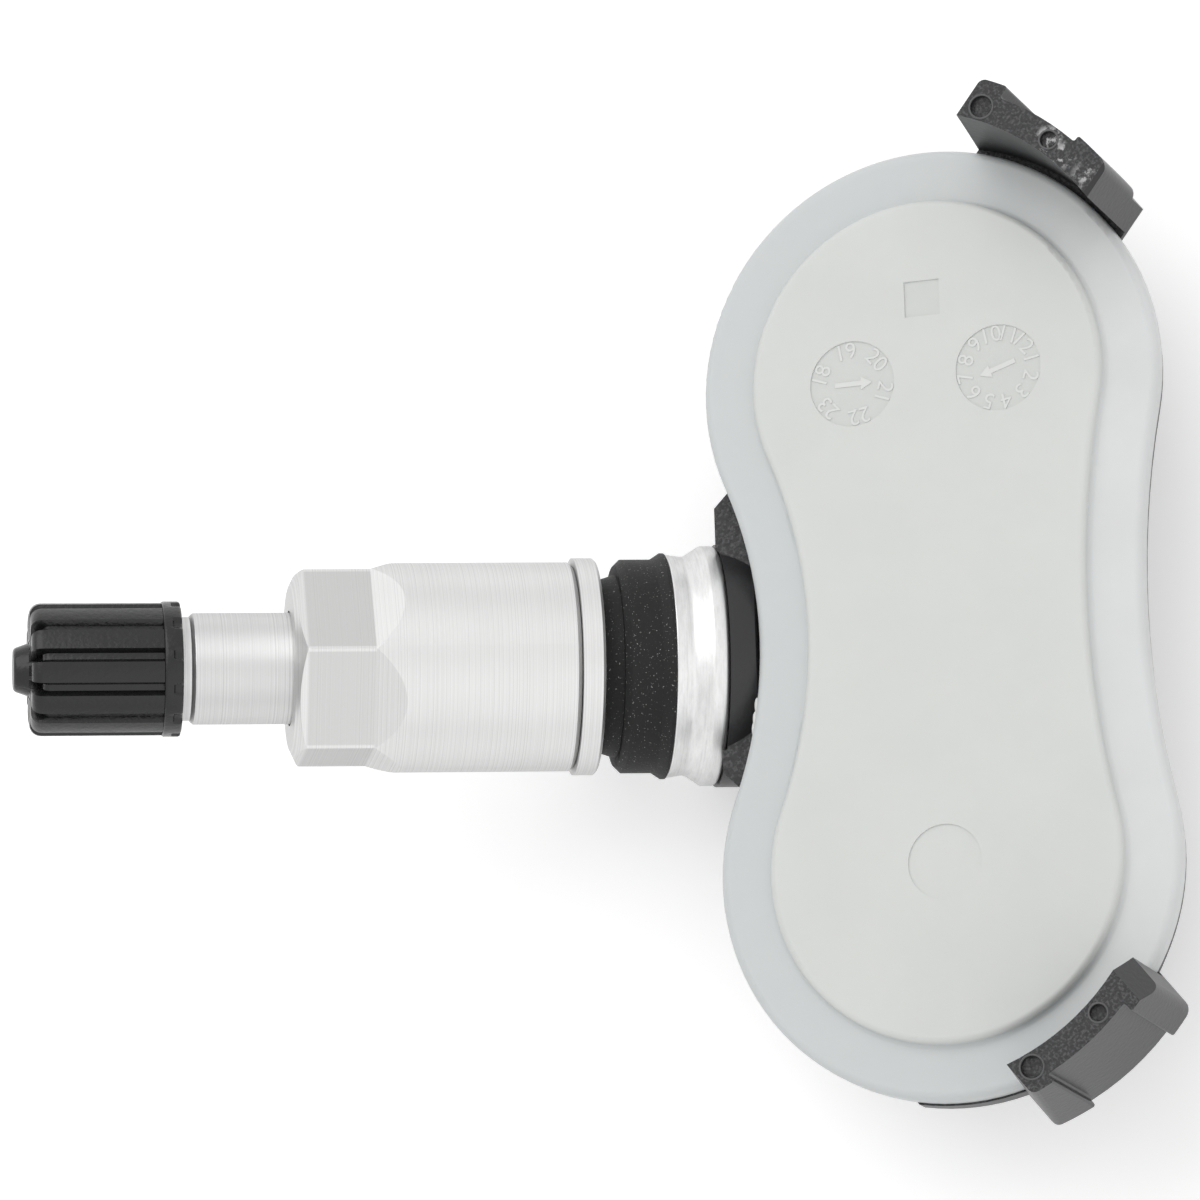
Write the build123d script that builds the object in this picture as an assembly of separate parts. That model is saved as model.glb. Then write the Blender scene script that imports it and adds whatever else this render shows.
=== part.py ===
from build123d import *
import math
import os

# Clamp-in tyre pressure sensor: a welded two-lobed sensor body on an aluminium valve stem.
# Millimetres. The origin is on the flat back of the housing, midway between the two lobes. +Z is the lid's
# outward normal, the stem leaves the body's waist towards -X and rises from the back at the stem's tilt.

# Coin cell, and the two-lobed body that is wrapped around it
cell_diameter = 20.0
cell_height = 3.2
cell_clearance = 1.8
tub_wall = 1.6
weld_margin = 3.4
lobe_spacing = 35.2
stem_waist_radius = 30.5
far_waist_radius = 66.0

# Housing, heights measured up from the back
floor_thickness = 1.6
board_ledge_height = 6.2
board_ledge_width = 0.9
housing_depth = 13.5
flange_thickness = 1.3
flange_inset = 0.3
back_edge_round = 2.6

# Lid
lid_rim_thickness = 1.5
lid_edge_round = 0.6
lid_wall = 1.4
plateau_height = 0.9
plateau_margin = 3.9
plateau_round = 0.45
plateau_foot_round = 0.35
mark_depth = 0.12
dial_diameter = 6.25
dial_spacing = 10.8
gate_mark_diameter = 5.4
square_mark_side = 2.6
square_mark_offset = 5.7

# Feet that rest on the wheel: upright walls around the far side of each lobe, with a nub at each end
foot_angle = 52.0
foot_rise = 9.0
foot_gap = 0.5
foot_wall = 2.0
foot_nub_round = 0.18
foot_end_round = 0.6
foot_tail_draft = 7.0
upper_tail = 5.9
upper_toe = 5.6
upper_toe_drop = 0.3
upper_toe_run = 0.3
upper_toe_round = 0.8
upper_tail_nub = 0.95
upper_toe_nub = 0.5
upper_tail_nub_length = 2.0
upper_toe_nub_length = 3.0
upper_nub_height = 8.0
upper_undercut = 0.3
upper_mark_along = 0.9
lower_tail = 5.2
lower_toe = 6.0
lower_toe_drop = 2.4
lower_toe_run = 1.4
lower_toe_round = 0.9
lower_tail_nub = 0.7
lower_toe_nub = 0.8
lower_tail_nub_length = 1.7
lower_toe_nub_length = 2.3
lower_nub_height = 11.0
lower_undercut = 0.3
lower_mark_along = 1.9
skirt_width = 0.15
skirt_length = 7.6
ejector_inset = 1.2
ejector_radius = 0.78
ejector_small_radius = 0.6
ejector_depth = 0.35

# Neck of the housing that grips the stem
stem_tilt = 25.0
seat_reach = 5.5
jaw_half_width = 11.0
jaw_offset = 0.75
jaw_corner = 1.3
jaw_lip = 0.35
jaw_thickness = 1.6
jaw_step = 1.1
lid_to_dome_gap = 0.25
insert_gap = 0.03
air_hole_radius = 1.5

# Stem, lengths along its own axis from the seat on the housing
floor_gap = 0.02
ring_radius = 8.65
ring_length = 1.15
ring_edge_round = 0.45
ring_cone_length = 1.2
flange_waist_radius = 7.85
flange_rim_radius = 8.08
flange_length = 1.45
stem_thread_radius = 4.95
stem_thread_end = 22.0
shank_radius = 4.0
shank_end = 37.75
relief_radius = 3.5
relief_length = 0.6
tip_thread_radius = 3.85
tip_thread_length = 8.85
tail_radius = 3.6
tail_length = 6.0
tail_groove_depth = 0.5
stem_bore_radius = 2.15
core_bore_radius = 2.65
core_bore_length = 5.2
core_seat_length = 1.0

# Rubber grommet and the washer and nut that clamp it
grommet_flange_length = 3.55
grommet_radius = 7.7
grommet_lip_radius = 8.15
grommet_neck_radius = 6.2
grommet_neck_root_radius = 6.6
grommet_neck_length = 1.25
clamp_gap = 0.2
washer_radius = 7.82
washer_thickness = 1.6
washer_bore_gap = 0.15
washer_nut_gap = 0.06
nut_radius = 7.53
nut_length = 20.35
nut_flat_to_flat = 13.0
nut_hex_length = 5.65
nut_runout_length = 2.2
nut_turn = -2.0
nut_thread_gap = 0.05
nut_thread_length = 13.0
nut_shank_gap = 0.15
nut_base_chamfer = 0.3
nut_end_chamfer = 0.8
nut_end_radius = 5.85
nut_end_round = 0.4

# Valve cap
cap_end_gap = 0.92
cap_length = 10.76
cap_thread_gap = 0.08
cap_top_wall = 1.0
cap_core_radius = 4.38
cap_collar_radius = 4.85
cap_collar_length = 1.35
cap_rib_count = 12
cap_rib_radius = 4.75
cap_rib_width = 1.2
cap_rib_rise = 0.8
cap_rib_round = 0.75
cap_nub_radius = 1.9
cap_nub_rise = 2.0
seal_radius = 3.6
seal_thickness = 0.6
seal_gap = 0.03

# Valve core
core_fit = 0.1
core_top_depth = 0.8
core_barrel_radius = 1.7
core_barrel_bore = 1.3
core_barrel_length = 6.4
core_barrel_lip = 0.5
pin_radius = 0.5
pin_guide_gap = 0.08
pin_top_depth = 0.25
pin_collar_radius = 1.15
pin_collar_length = 0.5
pin_collar_depth = 1.5
cup_radius = 1.6
cup_length = 1.2
cup_gap = 0.05
spring_wire_radius = 0.15
spring_turns = 4.5

# Electronics
board_thickness = 1.0
board_gap = 0.3
tab_thickness = 0.25
tab_width = 3.0
chip_side = 6.0
chip_height = 1.9
port_radius = 0.9
port_gasket_radius = 2.4
port_boss_height = 1.2
filter_thickness = 0.3
coil_length = 11.0
coil_width = 3.6
coil_height = 2.6
coil_flange = 1.6
crystal_length = 5.0
crystal_width = 3.2
crystal_height = 1.2
antenna_inset = 2.6
antenna_wire_radius = 0.5
antenna_height = 3.5
antenna_span = 140.0

# Values that follow from the ones above
lobe_radius = cell_diameter / 2 + cell_clearance + tub_wall + weld_margin
lobe_y = lobe_spacing / 2
stem_waist_x = math.sqrt((lobe_radius + stem_waist_radius) ** 2 - lobe_y**2)
far_waist_x = math.sqrt((lobe_radius + far_waist_radius) ** 2 - lobe_y**2)
waist_edge_x = stem_waist_x - stem_waist_radius
flange_underside = housing_depth - flange_thickness
rim_top = housing_depth + lid_rim_thickness
plateau_top = rim_top + plateau_height
foot_top = rim_top + foot_rise
foot_inner = lobe_radius + foot_gap
foot_outer = foot_inner + foot_wall
jaw_top = housing_depth - jaw_step
tilt = math.radians(stem_tilt)
seat_x = -waist_edge_x - seat_reach
ring_edge_drop = (ring_radius - ring_edge_round) * math.cos(tilt) + ring_edge_round * (1 - math.sin(tilt))
seat_z = ring_edge_drop + floor_gap
stem_frame = Plane(
    origin=(seat_x, 0, seat_z),
    x_dir=(math.sin(tilt), 0, math.cos(tilt)),
    z_dir=(-math.cos(tilt), 0, math.sin(tilt)),
)
dome_radius = ring_radius + 0.1
flange_top = ring_length + ring_cone_length + flange_length
grommet_shoulder = flange_top + grommet_flange_length
grommet_top = grommet_shoulder + grommet_neck_length
washer_base = grommet_top + clamp_gap
nut_base = washer_base + washer_thickness + washer_nut_gap
nut_top = nut_base + nut_length
stem_tip = shank_end + relief_length + tip_thread_length
cap_base = shank_end + cap_end_gap
cap_top = cap_base + cap_length
seal_base = stem_tip + seal_gap
cap_bore_end = seal_base + seal_thickness + seal_gap
core_seat_top = stem_tip - core_bore_length
core_top = stem_tip - core_top_depth
barrel_base = core_seat_top - core_barrel_length
collar_top = core_seat_top - pin_collar_depth
board_top = board_ledge_height + board_thickness
cell_base = board_top + tab_thickness
cell_top = cell_base + cell_height
antenna_radius = cell_diameter / 2 + cell_clearance - antenna_inset


def body_outline(grow):
    """Two lobes joined by tangent waist arcs, grown outwards by the given amount."""
    lobe = lobe_radius + grow
    near = stem_waist_radius - grow
    far = far_waist_radius - grow
    near_x = -stem_waist_x * lobe / (lobe_radius + stem_waist_radius)
    near_y = lobe_y - lobe_y * lobe / (lobe_radius + stem_waist_radius)
    far_x = far_waist_x * lobe / (lobe_radius + far_waist_radius)
    far_y = lobe_y - lobe_y * lobe / (lobe_radius + far_waist_radius)
    near_waist = ThreePointArc((near_x, -near_y), (near - stem_waist_x, 0), (near_x, near_y))
    upper_lobe = ThreePointArc((near_x, near_y), (0, lobe_y + lobe), (far_x, far_y))
    far_waist = ThreePointArc((far_x, far_y), (far_waist_x - far, 0), (far_x, -far_y))
    lower_lobe = ThreePointArc((far_x, -far_y), (0, -lobe_y - lobe), (near_x, -near_y))
    return make_face(Wire([near_waist, upper_lobe, far_waist, lower_lobe]))


def body_slab(grow, low, high):
    """The body's outline as a slab between two heights."""
    return Pos(0, 0, low) * extrude(body_outline(grow), high - low)


def ring_slab(inner, outer, low, high):
    """A flat ring between two radii and two heights."""
    return Pos(0, 0, low) * extrude(Circle(outer) - Circle(inner), high - low)


def turned(*points):
    """A turned piece: its half section, given as (radius, length along the axis), spun about the Z axis."""
    section = make_face(Polyline(*[(radius, 0, along) for radius, along in points], close=True))
    return revolve(section, Axis.Z)


def on_stem(piece):
    """Places a piece that was made along the Z axis on the tilted stem."""
    return stem_frame.location * piece


def foot(
    tail, toe, toe_drop, toe_run, toe_round, tail_nub, toe_nub, tail_nub_length, toe_nub_length,
    nub_height, undercut, mark_along,
):
    """One foot about the lobe's centre, standing on +Y, with its toe towards +X."""
    tail_low = tail + (foot_top - flange_underside) * math.tan(math.radians(foot_tail_draft))
    tail_crown = foot_outer + tail_nub
    toe_crown = foot_outer + toe_nub
    reach = foot_outer + 2 * foot_wall
    hollow_from = tail_nub_length - tail
    hollow_to = toe - toe_nub_length
    side_view = Polyline(
        (-tail_low, flange_underside),
        (toe - undercut, flange_underside),
        (toe, flange_underside + 3 * undercut),
        (toe, foot_top - toe_drop),
        (toe - toe_run, foot_top),
        (-tail, foot_top),
        close=True,
    )
    slab = extrude(Plane.XZ * make_face(side_view), -reach)
    hollow_span = Pos((hollow_from + hollow_to) / 2, reach / 2) * Rectangle(hollow_to - hollow_from, reach)
    tail_half = Box(2 * reach, 2 * reach, 2 * foot_top, align=(Align.MAX, Align.CENTER, Align.CENTER))
    nub_base = foot_top - nub_height
    nubs = ring_slab(foot_inner, tail_crown, nub_base, foot_top) & tail_half
    nubs += ring_slab(foot_inner, toe_crown, nub_base, foot_top) - tail_half
    nubs &= slab
    nubs -= ring_slab(foot_outer, reach, 0, foot_top) & extrude(hollow_span, foot_top)
    hollow_corners = [
        edge
        for edge in nubs.edges().filter_by(Axis.Z)
        if min(abs(edge.center().X - hollow_from), abs(edge.center().X - hollow_to)) < 0.01
    ]
    nubs = fillet(hollow_corners, foot_nub_round)
    tail_outer_y = math.sqrt(foot_outer**2 - tail_low**2)
    tail_corner = [
        edge
        for edge in nubs.edges()
        if edge.center().X < -tail and edge.center().Y > tail_outer_y
    ]
    nubs = fillet(tail_corner, foot_end_round)
    root = ring_slab(foot_inner, foot_outer, flange_underside, foot_top) & slab
    base = ring_slab(lobe_radius - weld_margin, foot_outer, flange_underside, housing_depth) & slab
    skirt_box = Box(skirt_length + tail, reach, foot_top, align=(Align.MAX, Align.MIN, Align.MIN))
    skirt = ring_slab(lobe_radius - weld_margin, lobe_radius + skirt_width, flange_underside, housing_depth)
    whole = nubs + root + base + (skirt & skirt_box)
    bend_x = toe - toe_round
    bend_y = math.sqrt((toe_crown - toe_round) ** 2 - bend_x**2)
    beyond = reach / (toe_crown - toe_round)
    corner = make_face(
        Polyline(
            (bend_x, bend_y), (toe + toe_round, bend_y), (toe + toe_round, reach),
            (bend_x * beyond, bend_y * beyond), close=True,
        )
    )
    whole -= extrude(corner - Pos(bend_x, bend_y) * Circle(toe_round), foot_top)
    pad_radius = (foot_inner + foot_outer) / 2
    for along, radius in ((ejector_inset - tail, ejector_radius), (mark_along, ejector_small_radius)):
        across = math.sqrt(pad_radius**2 - along**2)
        whole -= Pos(along, across, foot_top) * Cylinder(radius, 2 * ejector_depth)
    return whole


def neck():
    """Barrel around the stem's tail, with a plate on it whose two jaws hold the seat ring."""
    root_x = weld_margin - waist_edge_x
    front_x = seat_x + ((jaw_top - seat_z) * math.sin(tilt) - jaw_lip) / math.cos(tilt)
    plate = Pos(root_x, jaw_offset, jaw_top - jaw_thickness) * Box(
        root_x - front_x, 2 * jaw_half_width, jaw_thickness, align=(Align.MAX, Align.CENTER, Align.MIN)
    )
    plate = chamfer(plate.edges().filter_by(Axis.Z).group_by(Axis.X)[0], jaw_corner)
    barrel_length = (root_x - seat_x) / math.cos(tilt)
    barrel = on_stem(Pos(0, 0, -barrel_length / 2) * Cylinder(dome_radius, barrel_length))
    barrel &= Box(120, 120, jaw_top, align=(Align.CENTER, Align.CENTER, Align.MIN))
    ring_room = Cylinder(ring_radius + lid_to_dome_gap, 60, align=(Align.CENTER, Align.CENTER, Align.MIN))
    return plate + barrel - on_stem(ring_room)


def stem_section(gap):
    """Half section of the part of the stem that the housing is moulded around."""
    radius = tail_radius + gap
    groove = radius - tail_groove_depth
    third = tail_length / 3
    return (
        (0, ring_length), (radius, ring_length), (radius, -third), (groove, -third),
        (groove, -2 * third), (radius, -2 * third), (radius, -tail_length - gap), (0, -tail_length - gap),
    )


def housing():
    """Moulded tub with its weld flange, stem neck and feet, in one piece."""
    tub = body_slab(-weld_margin, 0, flange_underside)
    tub = fillet(tub.edges().group_by(Axis.Z)[0], back_edge_round)
    flange = body_slab(-flange_inset, flange_underside, housing_depth)
    dome = on_stem(Sphere(dome_radius) & Box(60, 60, 60, align=(Align.CENTER, Align.CENTER, Align.MAX)))
    dome &= Pos(0, 0, back_edge_round) * Box(120, 120, 60, align=(Align.CENTER, Align.CENTER, Align.MIN))
    dome -= body_slab(lid_to_dome_gap, housing_depth, plateau_top)
    foot_place = Pos(0, lobe_y, 0) * Rot(0, 0, foot_angle - 90)
    upper_foot = foot_place * foot(
        upper_tail, upper_toe, upper_toe_drop, upper_toe_run, upper_toe_round, upper_tail_nub,
        upper_toe_nub, upper_tail_nub_length, upper_toe_nub_length, upper_nub_height,
        upper_undercut, upper_mark_along,
    )
    lower_foot = foot_place * foot(
        lower_tail, lower_toe, lower_toe_drop, lower_toe_run, lower_toe_round, lower_tail_nub,
        lower_toe_nub, lower_tail_nub_length, lower_toe_nub_length, lower_nub_height,
        lower_undercut, lower_mark_along,
    )
    whole = tub + flange + neck() + dome + upper_foot + mirror(lower_foot, Plane.XZ)
    whole -= body_slab(-weld_margin - tub_wall, board_ledge_height, plateau_top)
    whole -= body_slab(-weld_margin - tub_wall - board_ledge_width, floor_thickness, board_ledge_height)
    whole -= on_stem(turned(*stem_section(insert_gap)))
    chamber = tail_length + air_hole_radius
    whole -= on_stem(Pos(0, 0, -chamber / 2) * Cylinder(stem_bore_radius, chamber))
    air_x = seat_x + chamber * math.cos(tilt) - air_hole_radius
    air_z = seat_z - chamber * math.sin(tilt)
    whole -= Pos(air_x, 0, air_z / 2) * Cylinder(air_hole_radius, air_z)
    boss = Pos(0, lobe_y, floor_thickness) * Cylinder(
        port_gasket_radius, port_boss_height, align=(Align.CENTER, Align.CENTER, Align.MIN)
    )
    port = Pos(0, lobe_y, board_ledge_height / 2) * Cylinder(port_radius, board_ledge_height)
    return whole + boss - port


def lid():
    """Moulded cover: a weld rim around a hollow raised plateau, with its mould marks."""
    rim = body_slab(0, housing_depth, rim_top)
    rim = fillet(rim.edges().group_by(Axis.Z)[-1], lid_edge_round)
    plateau = body_slab(-plateau_margin, rim_top, plateau_top)
    plateau = fillet(plateau.edges().group_by(Axis.Z)[-1], plateau_round)
    whole = rim + plateau
    root = [edge for edge in whole.edges() if abs(edge.center().Z - rim_top) < 0.01 and edge.is_interior]
    whole = fillet(root, plateau_foot_round)
    whole -= body_slab(-plateau_margin - lid_wall, housing_depth, plateau_top - lid_wall)
    marks = [Pos(side * dial_spacing / 2, lobe_y) * Circle(dial_diameter / 2) for side in (-1, 1)]
    marks.append(Pos(0, -lobe_y) * Circle(gate_mark_diameter / 2))
    marks.append(Pos(0, lobe_y + square_mark_offset) * Rectangle(square_mark_side, square_mark_side))
    for mark in marks:
        whole -= Pos(0, 0, plateau_top - mark_depth) * extrude(mark, 2 * mark_depth)
    return whole


def valve_stem():
    """Turned aluminium stem: moulded-in tail, seat ring, waisted flange, thread, shank and valve thread."""
    third = tail_length / 3
    groove = tail_radius - tail_groove_depth
    body = turned(
        (0, -tail_length), (tail_radius, -tail_length), (tail_radius, -2 * third), (groove, -2 * third),
        (groove, -third), (tail_radius, -third), (tail_radius, 0), (ring_radius, 0),
        (ring_radius, ring_length), (flange_waist_radius, ring_length + ring_cone_length),
        (flange_rim_radius, flange_top), (stem_thread_radius, flange_top),
        (stem_thread_radius, stem_thread_end),
        (shank_radius, stem_thread_end + stem_thread_radius - shank_radius), (shank_radius, shank_end),
        (relief_radius, shank_end + shank_radius - relief_radius),
        (relief_radius, shank_end + relief_length),
        (tip_thread_radius, shank_end + relief_length + tip_thread_radius - relief_radius),
        (tip_thread_radius, stem_tip - relief_length), (relief_radius, stem_tip), (0, stem_tip),
    )
    ring_edges = [
        edge
        for edge in body.edges().filter_by(GeomType.CIRCLE)
        if abs(edge.radius - ring_radius) < 0.001
    ]
    body = fillet(ring_edges, ring_edge_round)
    core_seat = core_seat_top - core_seat_length
    return body - turned(
        (0, -tail_length), (stem_bore_radius, -tail_length), (stem_bore_radius, core_seat),
        (core_bore_radius, core_seat_top), (core_bore_radius, stem_tip), (0, stem_tip),
    )


def rim_grommet():
    """Rubber seal: a lipped flange against the stem's flange, with a tapered neck for the valve hole."""
    lip = grommet_lip_radius - grommet_radius
    bore = stem_thread_radius + insert_gap
    return turned(
        (bore, flange_top), (grommet_lip_radius, flange_top), (grommet_lip_radius, flange_top + lip / 2),
        (grommet_radius, flange_top + 2 * lip), (grommet_radius, grommet_shoulder - lip),
        (grommet_radius - lip, grommet_shoulder), (grommet_neck_root_radius, grommet_shoulder),
        (grommet_neck_radius, grommet_top), (bore, grommet_top),
    )


def nut_washer():
    """Turned washer between the nut and the wheel."""
    bore = stem_thread_radius + washer_bore_gap
    top = washer_base + washer_thickness
    edge = washer_thickness / 8
    return turned(
        (bore, washer_base), (washer_radius - edge, washer_base), (washer_radius, washer_base + edge),
        (washer_radius, top), (bore, top),
    )


def stem_nut():
    """Sleeve nut turned from round bar: six milled flats with slanting ends, bored in two steps."""
    bore = stem_thread_radius + nut_thread_gap
    shank_bore = shank_radius + nut_shank_gap
    step = nut_base + nut_thread_length
    nut = turned(
        (bore, nut_base), (nut_radius - nut_base_chamfer, nut_base),
        (nut_radius, nut_base + nut_base_chamfer),
        (nut_radius, nut_top - nut_end_chamfer), (nut_end_radius, nut_top), (shank_bore, nut_top),
        (shank_bore, step + bore - shank_bore), (bore, step),
    )
    end_edges = [
        edge
        for edge in nut.edges().filter_by(GeomType.CIRCLE)
        if edge.radius > shank_bore + nut_end_round and edge.arc_center.Z > step
    ]
    nut = fillet(end_edges, nut_end_round)
    flat = nut_flat_to_flat / 2
    hex_base = nut_top - nut_hex_length
    cutter = make_face(
        Polyline(
            (flat, 0, nut_top),
            (flat, 0, hex_base),
            (nut_radius, 0, hex_base - nut_runout_length),
            (2 * nut_radius, 0, hex_base - nut_runout_length),
            (2 * nut_radius, 0, nut_top),
            close=True,
        )
    )
    cutter = extrude(cutter, nut_radius, both=True)
    for side in range(6):
        nut -= Rot(0, 0, 30 + nut_turn + 60 * side) * cutter
    return nut


def valve_cap():
    """Moulded cap: a ribbed body over a plain collar, with a crown of rib ends around the nub."""
    bore = tip_thread_radius + cap_thread_gap
    shoulder = cap_top - cap_rib_rise
    inner_round = cap_top_wall / 2
    body = turned(
        (0, cap_base), (cap_collar_radius, cap_base), (cap_collar_radius, cap_base + cap_collar_length),
        (cap_core_radius, cap_base + cap_collar_length), (cap_core_radius, shoulder - inner_round),
        (cap_core_radius - inner_round, shoulder), (cap_nub_radius, shoulder),
        (cap_nub_radius, cap_top), (cap_nub_radius * 0.8, shoulder + cap_nub_rise),
        (0, shoulder + cap_nub_rise),
    )
    rib_base = cap_base + cap_collar_length / 2
    rib_root = cap_nub_radius / 2
    rib_depth = cap_rib_radius - rib_root
    rib = Pos(rib_root, 0, rib_base) * Box(
        rib_depth, cap_rib_width, cap_top - rib_base, align=(Align.MIN, Align.CENTER, Align.MIN)
    )
    rib = fillet(rib.edges().filter_by(Axis.Y).group_by(Axis.X)[-1].sort_by(Axis.Z)[-1], cap_rib_round)
    for number in range(cap_rib_count):
        body += Rot(0, 0, 360 / cap_rib_count * (number + 0.5)) * rib
    return body - Pos(0, 0, cap_base) * Cylinder(
        bore, cap_bore_end - cap_base, align=(Align.CENTER, Align.CENTER, Align.MIN)
    )


def cap_seal():
    """Rubber disc in the bottom of the cap."""
    top = seal_base + seal_thickness
    return turned((0, seal_base), (seal_radius, seal_base), (seal_radius, top), (0, top))


def core_barrel():
    """Screwed plug of the valve core with the tube that guides the pin and holds the spring."""
    plug = core_bore_radius - core_fit
    guide = pin_radius + pin_guide_gap
    lip = barrel_base + core_barrel_lip
    barrel = turned(
        (guide, barrel_base), (core_barrel_radius, barrel_base), (core_barrel_radius, core_seat_top),
        (plug, core_seat_top), (plug, core_top), (guide, core_top), (guide, core_seat_top),
        (core_barrel_bore, core_seat_top - core_barrel_lip), (core_barrel_bore, lip), (guide, lip),
    )
    slot = Box(2 * plug, plug, 2 * plug, align=(Align.CENTER, Align.MIN, Align.MIN))
    notch = core_top - (core_top - core_seat_top) / 3
    for turn in (0, 180):
        barrel -= Rot(0, 0, turn) * Pos(0, core_barrel_radius, notch) * slot
    return barrel


def core_gasket():
    """Tapered ring that seals the core's barrel in the stem's conical seat."""
    low = core_seat_top - 0.9 * core_seat_length
    taper = (core_bore_radius - stem_bore_radius) / core_seat_length
    bottom = stem_bore_radius + taper * 0.1 * core_seat_length - core_fit
    bore = core_barrel_radius + insert_gap
    rim = core_bore_radius - core_fit
    return turned((bore, low), (bottom, low), (rim, core_seat_top), (bore, core_seat_top))


def core_pin():
    """Valve pin with the collar that carries the spring."""
    collar_base = collar_top - pin_collar_length
    end = barrel_base - cup_gap - cup_length
    top = stem_tip - pin_top_depth
    return turned(
        (0, end), (pin_radius, end), (pin_radius, collar_base), (pin_collar_radius, collar_base),
        (pin_collar_radius, collar_top), (pin_radius, collar_top), (pin_radius, top), (0, top),
    )


def core_cup():
    """Sealing cup pressed on the pin's inner end."""
    top = barrel_base - cup_gap
    edge = cup_length / 4
    return turned(
        (pin_radius, top - cup_length), (cup_radius - edge, top - cup_length),
        (cup_radius, top - cup_length + edge), (cup_radius, top), (pin_radius, top),
    )


def core_spring():
    """Spring between the barrel's lip and the pin's collar."""
    low = barrel_base + core_barrel_lip + spring_wire_radius + core_fit
    high = collar_top - pin_collar_length - spring_wire_radius - core_fit
    radius = (core_barrel_bore + pin_radius) / 2
    path = Pos(0, 0, low) * Helix((high - low) / spring_turns, high - low, radius)
    section = Plane(origin=path @ 0, z_dir=path % 0) * Circle(spring_wire_radius)
    return sweep(section, path=path, is_frenet=True)


def circuit_board():
    """Board cut to the tub's shape, lying on the tub's ledge."""
    return body_slab(-weld_margin - tub_wall - board_gap, board_ledge_height, board_top)


def coin_cell():
    """Lithium coin cell with its can's rounded edge and narrower top."""
    radius = cell_diameter / 2
    step = cell_height / 5
    can = turned(
        (0, cell_base), (radius - step, cell_base), (radius - step, cell_base + step),
        (radius, cell_base + step), (radius, cell_top), (0, cell_top),
    )
    return Pos(0, -lobe_y, 0) * can


def lower_tab():
    """Sheet tab between the cell's underside and the board."""
    length = cell_diameter / 2 + 2 * tab_width
    return Pos(0, -lobe_y - tab_width / 2, board_top) * Box(
        tab_width, length, tab_thickness, align=(Align.CENTER, Align.MIN, Align.MIN)
    )


def upper_tab():
    """Sheet strap over the cell, bent down to the board beside it."""
    reach = cell_diameter / 2 + cell_clearance
    top = Pos(0, -lobe_y - tab_width, cell_top) * Box(
        tab_width, reach + tab_width, tab_thickness, align=(Align.CENTER, Align.MIN, Align.MIN)
    )
    leg = Pos(0, -lobe_y + reach - tab_thickness, board_top) * Box(
        tab_width, tab_thickness, cell_top - board_top, align=(Align.CENTER, Align.MIN, Align.MIN)
    )
    sole = Pos(0, -lobe_y + reach, board_top) * Box(
        tab_width, tab_width / 2, tab_thickness, align=(Align.CENTER, Align.MIN, Align.MIN)
    )
    return Pos(2 * tab_width, 0, 0) * (top + leg + sole)


def sensor_chip():
    """Pressure sensor package under the board, with its port facing the back."""
    chip = Box(chip_side, chip_side, chip_height, align=(Align.CENTER, Align.CENTER, Align.MAX))
    chip = chamfer(chip.edges().group_by(Axis.Z)[0], chip_height / 8)
    chip -= Pos(0, 0, -chip_height) * Cylinder(port_radius, chip_height)
    return Pos(0, lobe_y, board_ledge_height) * chip


def port_gasket():
    """Soft ring that seals the sensor's port to the hole in the back."""
    low = floor_thickness + port_boss_height
    high = board_ledge_height - chip_height
    return Pos(0, lobe_y, low) * extrude(Circle(port_gasket_radius) - Circle(port_radius), high - low)


def port_filter():
    """Porous plug in the pressure hole."""
    return Pos(0, lobe_y, floor_thickness) * Cylinder(
        port_radius, filter_thickness, align=(Align.CENTER, Align.CENTER, Align.MIN)
    )


def ferrite_core():
    """Ferrite drum of the wake-up coil, with a square flange at each end."""
    bar = Box(coil_length, coil_width / 2, coil_height / 2)
    for side in (-1, 1):
        bar += Pos(side * (coil_length - coil_flange) / 2, 0, 0) * Box(coil_flange, coil_width, coil_height)
    return Pos(0, lobe_y + cell_diameter / 8, board_top + coil_height / 2) * bar


def coil_winding():
    """Copper winding on the ferrite drum."""
    length = coil_length - 2 * coil_flange
    winding = Box(length, 0.85 * coil_width, 0.85 * coil_height)
    winding = fillet(winding.edges().filter_by(Axis.X), coil_height / 5)
    winding -= Box(length, coil_width / 2, coil_height / 2)
    return Pos(0, lobe_y + cell_diameter / 8, board_top + coil_height / 2) * winding


def crystal():
    """Metal-lidded timing crystal near the waist."""
    can = Box(crystal_length, crystal_width, crystal_height, align=(Align.CENTER, Align.CENTER, Align.MIN))
    can = fillet(can.edges().filter_by(Axis.Z), crystal_width / 8)
    return Pos(0, lobe_y - cell_diameter / 2, board_top) * can


def loop_antenna():
    """Wire arch that stands on the board around the upper lobe's end."""
    half = math.radians(antenna_span / 2)
    end_x = antenna_radius * math.sin(half)
    end_y = antenna_radius * math.cos(half)
    arch = ThreePointArc((-end_x, end_y), (0, antenna_radius), (end_x, end_y))
    arch = Pos(0, lobe_y, board_top + antenna_height) * arch
    wire = sweep(Plane(origin=arch @ 0, z_dir=arch % 0) * Circle(antenna_wire_radius), path=arch)
    for side in (-1, 1):
        leg = Pos(side * end_x, lobe_y + end_y, board_top) * Cylinder(
            antenna_wire_radius, antenna_height, align=(Align.CENTER, Align.CENTER, Align.MIN)
        )
        bend = Pos(side * end_x, lobe_y + end_y, board_top + antenna_height) * Sphere(antenna_wire_radius)
        wire += leg + bend
    return wire


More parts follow.
